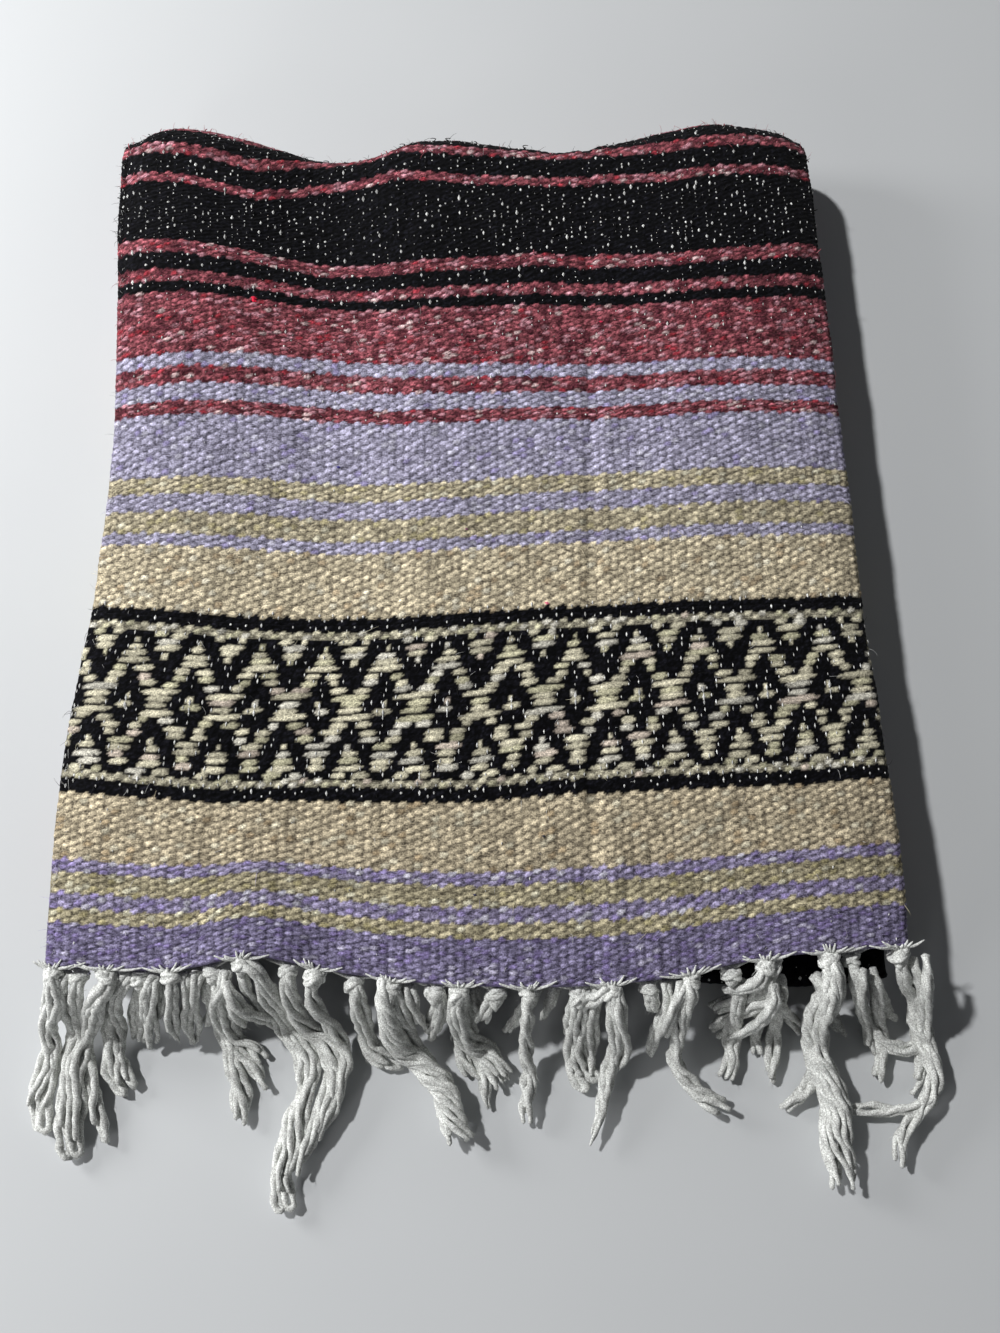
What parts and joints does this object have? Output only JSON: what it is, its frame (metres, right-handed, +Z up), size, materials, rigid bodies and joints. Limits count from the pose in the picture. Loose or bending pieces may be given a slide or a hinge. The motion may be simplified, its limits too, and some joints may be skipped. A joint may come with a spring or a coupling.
{
  "type": "folded mexican serape",
  "caption": "Woven falsa blanket folded into a thick rectangular stack, with a rounded back fold and a knotted cotton fringe lying out in front.",
  "frame": {"origin": "on the surface that the blanket lies on, under the middle of the cloth and its fringe", "axes": "+Y from the fringe to the back fold, +X to the right seen from the fringe, +Z up"},
  "size_m": [0.4292, 0.583, 0.0503],
  "materials": {
    "striped_cloth": "coarse woven wool and acrylic in lilac, beige, maroon and black stripes",
    "black_cloth": "coarse black weave with white warp specks",
    "folded_layers": "coarse woven cloth, edges of the folded layers",
    "fringe": "twisted grey-white cotton yarn"
  },
  "bodies": {
    "root": {"outer_cloth": "striped_cloth", "middle_fold": "black_cloth", "inner_layers": "folded_layers", "fringe_upper": "fringe", "fringe_second": "fringe", "fringe_lower": "fringe"}
  },
  "joints": []
}
